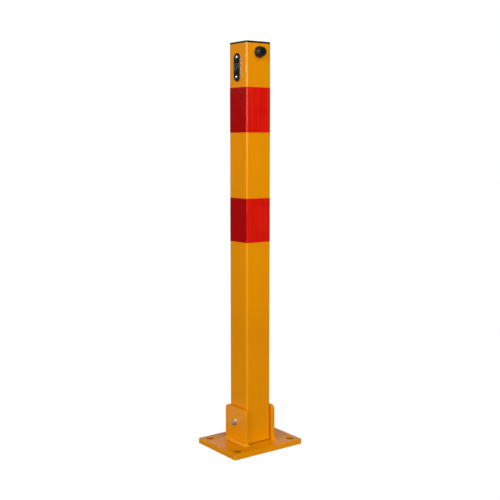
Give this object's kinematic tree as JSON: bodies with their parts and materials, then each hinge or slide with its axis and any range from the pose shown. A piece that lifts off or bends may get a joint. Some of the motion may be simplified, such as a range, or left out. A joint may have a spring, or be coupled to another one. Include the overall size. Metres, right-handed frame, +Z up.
{
  "type": "fold-down bollard",
  "caption": "Square steel parking post, yellow with red bands, that folds down between two cheeks on a bolt-down plate, with a key lock and a lifting knob near its top.",
  "frame": {"origin": "centre of the base plate's underside", "axes": "+Z up along the upright post, X along the pivot bolt and the plate's long side, the post folds down towards +Y; the lock is on the -X side and the knob on the -Y side"},
  "size_m": [0.203, 0.157, 0.977],
  "materials": {
    "yellow_paint": "gloss powder coat, yellow-orange",
    "red_band": "gloss red adhesive film",
    "black_plastic": "black moulded plastic, satin",
    "zinc_plated": "bright zinc plate",
    "plain_steel": "bare drawn steel",
    "lock_metal": "dull nickel-plated lock metal",
    "nylon": "natural nylon"
  },
  "bodies": {
    "base": {"base_plate": "yellow_paint", "left_cheek": "yellow_paint", "right_cheek": "yellow_paint", "cheek_welds": "yellow_paint", "pivot_bolt": "zinc_plated", "bolt_washers": "zinc_plated", "pivot_nut": "zinc_plated", "spacer_washers": "nylon"},
    "post": {"post_tube": "yellow_paint", "pivot_sleeve": "plain_steel", "lower_guide": "plain_steel", "upper_guide": "plain_steel", "top_cap": "black_plastic", "upper_band": "red_band", "lower_band": "red_band", "lock_backing": "zinc_plated", "lock_cover": "black_plastic", "cover_screws": "zinc_plated", "lock_barrel": "lock_metal", "lock_nut": "zinc_plated", "knob_collar": "black_plastic", "collar_nut": "zinc_plated", "friction_washer": "nylon"},
    "lock_rod": {"locking_rod": "plain_steel", "lift_bar": "plain_steel", "rod_pin": "zinc_plated"},
    "knob": {"knob": "black_plastic", "knob_cap": "black_plastic", "knob_screw": "zinc_plated", "knob_spindle": "plain_steel", "crank_arm": "plain_steel", "crank_pin": "plain_steel"},
    "lock_core": {"lock_plug": "lock_metal", "lock_cam": "plain_steel", "cam_screw": "zinc_plated"}
  },
  "joints": [
    {"name": "fold", "type": "hinge", "parent": "base", "child": "post", "pos_m": [0, 0, 0.0625], "axis": [-1, 0, 0], "range_deg": [0, 91.7]},
    {"name": "rod_slide", "type": "slide", "parent": "post", "child": "lock_rod", "axis": [0, 0, 1], "range_m": [-0.01645, 0]},
    {"name": "knob_turn", "type": "hinge", "parent": "post", "child": "knob", "pos_m": [0, -0.035, 0.952], "axis": [0, 1, 0], "range_deg": [0, 120]},
    {"name": "key_turn", "type": "hinge", "parent": "post", "child": "lock_core", "pos_m": [-0.03, 0, 0.9175], "axis": [-1, 0, 0], "range_deg": [0, 90]}
  ],
  "couplings": [
    {"joint": "knob_turn", "follows": "rod_slide", "rad_per_m": -127.3}
  ]
}
